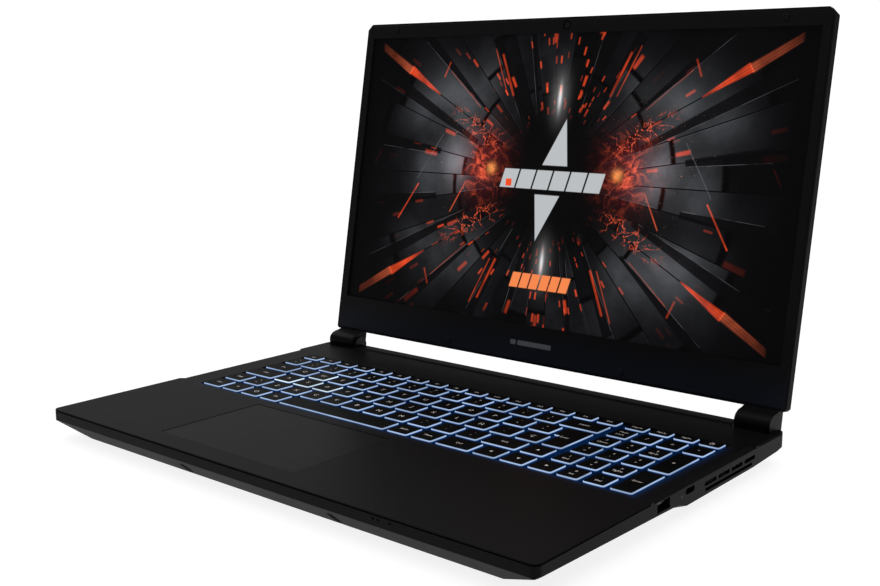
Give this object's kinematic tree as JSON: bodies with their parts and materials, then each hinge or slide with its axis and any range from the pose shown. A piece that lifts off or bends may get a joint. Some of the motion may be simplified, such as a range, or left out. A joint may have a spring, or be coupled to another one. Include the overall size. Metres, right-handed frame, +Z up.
{
  "type": "laptop computer",
  "caption": "Black hinged laptop computer, lid open, with a wide display, backlit keyboard with number pad, clickable touchpad, side ports and vents.",
  "frame": {"origin": "bottom centre of the open machine's bounding box, on the plane the feet stand on", "axes": "+X to the user's right along the hinge, +Y back from the front edge to the hinge, +Z up"},
  "size_m": [0.3594, 0.288, 0.2533],
  "materials": {
    "deck_plastic": "fine soft-touch texture, near black",
    "cover_plastic": "fine spark-eroded texture, near black",
    "lid_plastic": "fine matte texture, near black",
    "bezel_plastic": "matte, slightly blue black",
    "screen_glass": "anti-glare display, lit",
    "touchpad_film": "smooth matte film",
    "key_plastic": "matte black tops, lit translucent skirts",
    "light_guide": "back-lit blue diffuser",
    "status_light": "smoked light pipes",
    "lens_glass": "polished",
    "bright_metal": "mill finish",
    "steel": "zinc plated",
    "black_steel": "black oxide",
    "port_metal": "nickel plated",
    "copper": "bare copper",
    "circuit_board": "solder mask",
    "fan_plastic": "moulded",
    "battery_wrap": "satin film",
    "rubber": "matte",
    "cable_sleeve": "matte sleeve"
  },
  "bodies": {
    "base": {"top_case": "deck_plastic", "bottom_cover": "cover_plastic", "case_screws": "black_steel", "rubber_feet": "rubber", "status_lights": "status_light", "keyboard_plate": "steel", "keyboard_light_guide": "light_guide", "hinge_bracket_left": "steel", "hinge_bracket_right": "steel", "main_board": "circuit_board", "heat_pipes": "copper", "heat_sink_left": "bright_metal", "heat_sink_right": "bright_metal", "fan_housing_left": "fan_plastic", "fan_housing_right": "fan_plastic", "battery_pack": "battery_wrap", "memory_modules": "circuit_board", "ssd_drive": "circuit_board", "wifi_card": "circuit_board", "speaker_left": "fan_plastic", "speaker_right": "fan_plastic", "usb_a_ports": "port_metal", "usb_c_port": "port_metal", "audio_jack": "fan_plastic", "ethernet_jack": "port_metal", "hdmi_port": "port_metal", "power_inlet": "fan_plastic"},
    "lid": {"lid_cover": "lid_plastic", "display_bezel": "bezel_plastic", "lcd_glass": "screen_glass", "lcd_backlight": "bright_metal", "webcam_board": "circuit_board", "webcam_lens": "lens_glass", "wifi_antennas": "copper", "lid_bumpers": "rubber", "display_cable": "cable_sleeve", "hinge_cap_left": "lid_plastic", "hinge_cap_right": "lid_plastic", "hinge_arm_left": "steel", "hinge_arm_right": "steel"},
    "fan_rotor_left": {"fan_rotor_left": "fan_plastic"},
    "fan_rotor_right": {"fan_rotor_right": "fan_plastic"},
    "touchpad": {"touchpad": "touchpad_film"},
    "bottom_row_keys": {"bottom_row_keys": "key_plastic"},
    "shift_row_keys": {"shift_row_keys": "key_plastic"},
    "home_row_keys": {"home_row_keys": "key_plastic"},
    "letter_row_keys": {"letter_row_keys": "key_plastic"},
    "number_row_keys": {"number_row_keys": "key_plastic"},
    "function_row_keys": {"function_row_keys": "key_plastic"},
    "space_bar": {"space_bar": "key_plastic"},
    "right_shift_key": {"right_shift_key": "key_plastic"},
    "caps_lock_key": {"caps_lock_key": "key_plastic"},
    "tab_key": {"tab_key": "key_plastic"},
    "backspace_key": {"backspace_key": "key_plastic"},
    "numpad_plus_key": {"numpad_plus_key": "key_plastic"},
    "numpad_enter_key": {"numpad_enter_key": "key_plastic"},
    "power_key": {"power_key": "key_plastic"},
    "enter_key": {"enter_key": "key_plastic"}
  },
  "joints": [
    {"name": "lid_hinge", "type": "hinge", "parent": "base", "child": "lid", "pos_m": [0, 0.09475, 0.019], "axis": [-1, 0, 0], "range_deg": [-100, 35]},
    {"name": "fan_spin_left", "type": "hinge", "parent": "base", "child": "fan_rotor_left", "pos_m": [-0.119, 0.02895, 0.008], "axis": [0, 0, 1], "continuous": true},
    {"name": "fan_spin_right", "type": "hinge", "parent": "base", "child": "fan_rotor_right", "pos_m": [0.119, 0.02895, 0.008], "axis": [0, 0, 1], "continuous": true},
    {"name": "touchpad_click", "type": "hinge", "parent": "base", "child": "touchpad", "pos_m": [-0.0365, -0.05805, 0.0176], "axis": [1, 0, 0], "range_deg": [0, 0.35], "stiffness_Nm_per_rad": 7, "springref_deg": -0.17},
    {"name": "bottom_row_keys_press", "type": "slide", "parent": "base", "child": "bottom_row_keys", "axis": [0, 0, -1], "range_m": [0, 0.0016], "stiffness_N_per_m": 600, "springref_m": -0.0008},
    {"name": "shift_row_keys_press", "type": "slide", "parent": "base", "child": "shift_row_keys", "axis": [0, 0, -1], "range_m": [0, 0.0016], "stiffness_N_per_m": 600, "springref_m": -0.0008},
    {"name": "home_row_keys_press", "type": "slide", "parent": "base", "child": "home_row_keys", "axis": [0, 0, -1], "range_m": [0, 0.0016], "stiffness_N_per_m": 600, "springref_m": -0.0008},
    {"name": "letter_row_keys_press", "type": "slide", "parent": "base", "child": "letter_row_keys", "axis": [0, 0, -1], "range_m": [0, 0.0016], "stiffness_N_per_m": 600, "springref_m": -0.0008},
    {"name": "number_row_keys_press", "type": "slide", "parent": "base", "child": "number_row_keys", "axis": [0, 0, -1], "range_m": [0, 0.0016], "stiffness_N_per_m": 600, "springref_m": -0.0008},
    {"name": "function_row_keys_press", "type": "slide", "parent": "base", "child": "function_row_keys", "axis": [0, 0, -1], "range_m": [0, 0.0016], "stiffness_N_per_m": 600, "springref_m": -0.0008},
    {"name": "space_bar_press", "type": "slide", "parent": "base", "child": "space_bar", "axis": [0, 0, -1], "range_m": [0, 0.0016], "stiffness_N_per_m": 300, "springref_m": -0.0008},
    {"name": "right_shift_key_press", "type": "slide", "parent": "base", "child": "right_shift_key", "axis": [0, 0, -1], "range_m": [0, 0.0016], "stiffness_N_per_m": 300, "springref_m": -0.0008},
    {"name": "caps_lock_key_press", "type": "slide", "parent": "base", "child": "caps_lock_key", "axis": [0, 0, -1], "range_m": [0, 0.0016], "stiffness_N_per_m": 300, "springref_m": -0.0008},
    {"name": "tab_key_press", "type": "slide", "parent": "base", "child": "tab_key", "axis": [0, 0, -1], "range_m": [0, 0.0016], "stiffness_N_per_m": 300, "springref_m": -0.0008},
    {"name": "backspace_key_press", "type": "slide", "parent": "base", "child": "backspace_key", "axis": [0, 0, -1], "range_m": [0, 0.0016], "stiffness_N_per_m": 300, "springref_m": -0.0008},
    {"name": "numpad_plus_key_press", "type": "slide", "parent": "base", "child": "numpad_plus_key", "axis": [0, 0, -1], "range_m": [0, 0.0016], "stiffness_N_per_m": 300, "springref_m": -0.0008},
    {"name": "numpad_enter_key_press", "type": "slide", "parent": "base", "child": "numpad_enter_key", "axis": [0, 0, -1], "range_m": [0, 0.0016], "stiffness_N_per_m": 300, "springref_m": -0.0008},
    {"name": "power_key_press", "type": "slide", "parent": "base", "child": "power_key", "axis": [0, 0, -1], "range_m": [0, 0.0016], "stiffness_N_per_m": 300, "springref_m": -0.0008},
    {"name": "enter_key_press", "type": "slide", "parent": "base", "child": "enter_key", "axis": [0, 0, -1], "range_m": [0, 0.0016], "stiffness_N_per_m": 300, "springref_m": -0.0008}
  ]
}
